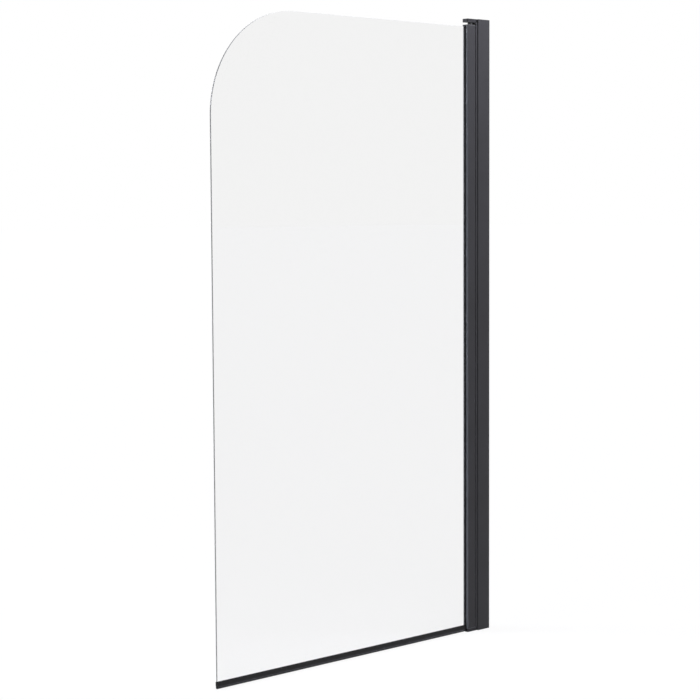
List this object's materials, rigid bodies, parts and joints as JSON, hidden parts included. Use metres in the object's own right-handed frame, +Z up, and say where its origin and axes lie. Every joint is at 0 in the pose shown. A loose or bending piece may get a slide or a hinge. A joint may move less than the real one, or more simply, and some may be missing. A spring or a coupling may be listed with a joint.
{
  "type": "bath screen",
  "caption": "Pivoting glass bath screen with a rounded top corner: a clear pane in a black hinge channel that turns and lifts on a wall-fixed profile, sealed along the bath rim.",
  "frame": {"origin": "foot of the wall face of the wall profile, on its middle plane, at the level of the bath rim", "axes": "+X into the wall, so that the screen reaches along -X; +Z up; -Y is the room side that the panel swings towards"},
  "size_m": [0.8, 0.0266, 1.4],
  "materials": {
    "black_extrusion": "satin black powder coat on extruded aluminium",
    "black_casting": "satin black powder coat on a casting",
    "clear_glass": "clear toughened glass with a polished edge",
    "black_rubber": "matt black flexible seal",
    "black_nylon": "moulded black nylon",
    "white_nylon": "natural nylon",
    "pin_steel": "ground stainless steel",
    "black_screw": "blackened steel screw"
  },
  "bodies": {
    "fixed": {"wall_profile": "black_extrusion", "pivot_profile": "black_extrusion", "wiper_seal": "black_rubber", "top_arm": "black_casting", "bottom_arm": "black_casting", "top_bush": "black_nylon", "top_pivot_pin": "pin_steel", "lower_cam": "white_nylon", "top_arm_screws": "black_screw", "bottom_arm_screws": "black_screw", "side_screws": "black_screw", "screw_covers": "black_nylon"},
    "pivot": {"bottom_pivot_pin": "pin_steel"},
    "panel": {"glazing_channel": "black_extrusion", "top_end_plug": "black_nylon", "upper_cam": "white_nylon", "cam_screw": "black_screw", "front_gasket": "black_rubber", "back_gasket": "black_rubber", "glass_panel": "clear_glass", "glazing_blocks": "white_nylon", "bottom_seal": "black_rubber"}
  },
  "joints": [
    {"name": "swing", "type": "hinge", "parent": "fixed", "child": "pivot", "pos_m": [-0.0525, 0, 0], "axis": [0, 0, 1], "range_deg": [0, 90]},
    {"name": "rise", "type": "slide", "parent": "pivot", "child": "panel", "axis": [0, 0, 1], "range_m": [0, 0.005]}
  ],
  "couplings": [
    {"joint": "rise", "follows": "swing", "m_per_rad": 0.00318}
  ]
}
